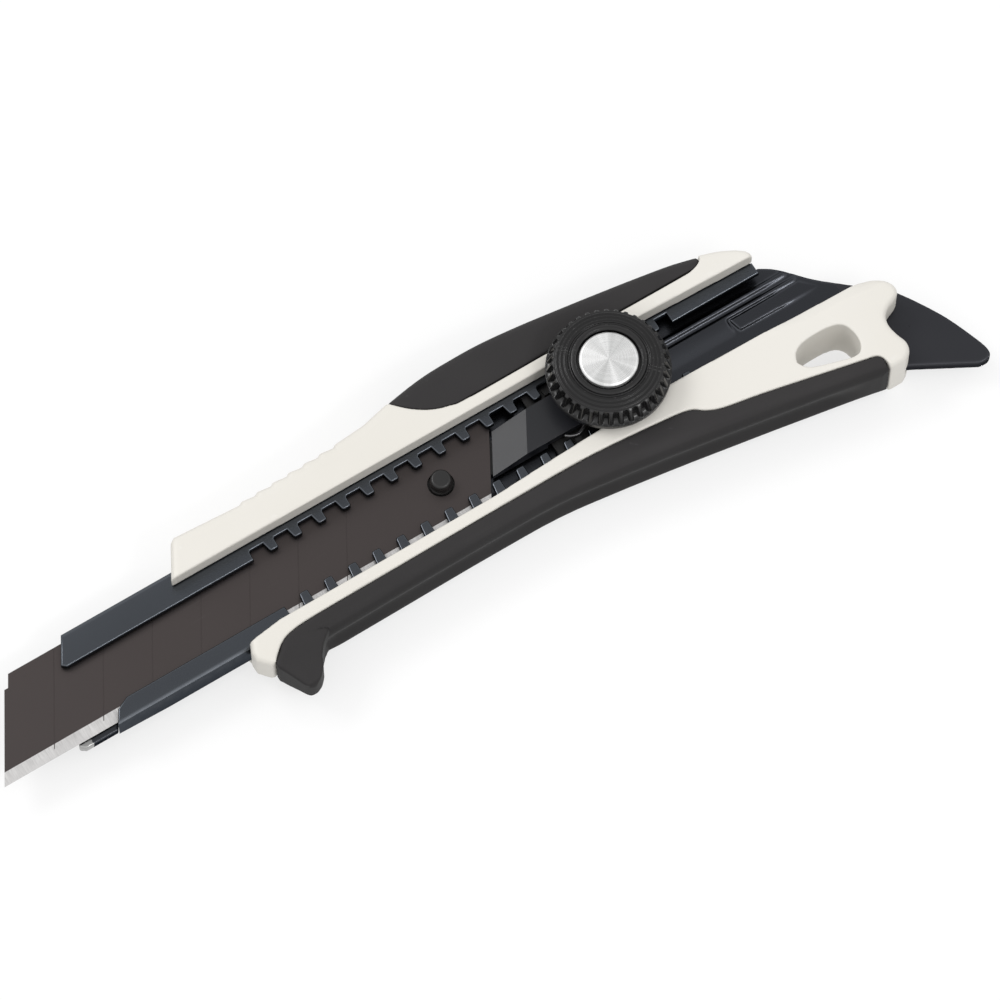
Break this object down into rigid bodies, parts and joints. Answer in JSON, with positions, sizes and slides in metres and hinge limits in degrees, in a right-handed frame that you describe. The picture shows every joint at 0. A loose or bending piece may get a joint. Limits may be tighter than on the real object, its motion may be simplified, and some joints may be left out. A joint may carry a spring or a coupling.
{
  "type": "snap-off knife",
  "caption": "Screw-lock snap-off knife: a segmented blade slides in a toothed steel channel in a two-tone handle with a finger guard, and the steel core ends in a flat pry fin.",
  "frame": {"origin": "on the handle's flat back face, on the blade's centreline, 100 mm behind the blade's tip at rest", "axes": "+X from the blade's tip to the fin, +Y towards the blade's spine, +Z out of the dial side"},
  "size_m": [0.1924, 0.0492, 0.0184],
  "materials": {
    "shell_plastic": "satin moulded",
    "grip_elastomer": "matt moulded elastomer",
    "coated_steel": "satin black coating",
    "blade_steel": "dark oxide with a bright ground edge",
    "black_plastic": "satin moulded",
    "dial_plastic": "satin moulded",
    "bright_steel": "plated",
    "cap_metal": "turned face",
    "brass_fittings": "machined"
  },
  "bodies": {
    "handle": {"handle_body": "shell_plastic", "upper_grip": "grip_elastomer", "lower_grip": "grip_elastomer", "blade_holder": "coated_steel", "spine_plate": "coated_steel", "handle_screw_1": "bright_steel", "handle_screw_2": "bright_steel", "handle_screw_3": "bright_steel"},
    "slider": {"slider_block": "black_plastic", "slider_carrier": "bright_steel", "blade_pin": "coated_steel", "blade": "blade_steel", "click_spring": "bright_steel", "release_spring": "bright_steel", "friction_washer": "brass_fittings"},
    "clamp": {"clamp_plate": "bright_steel", "clamp_stud": "bright_steel"},
    "dial": {"lock_dial": "dial_plastic", "dial_nut": "brass_fittings", "dial_cap": "cap_metal"}
  },
  "joints": [
    {"name": "slider_travel", "type": "slide", "parent": "handle", "child": "slider", "axis": [-1, 0, 0], "range_m": [-0.02, 0.05]},
    {"name": "dial_turn", "type": "hinge", "parent": "slider", "child": "dial", "pos_m": [0.0301, 0, 0.0129], "axis": [0, 0, 1], "range_deg": [-248, 0]},
    {"name": "clamp_lift", "type": "slide", "parent": "slider", "child": "clamp", "axis": [0, 0, 1], "range_m": [0, 0.00055], "deforming": ["release_spring"]}
  ],
  "couplings": [
    {"joint": "dial_turn", "follows": "clamp_lift", "rad_per_m": -7854}
  ]
}
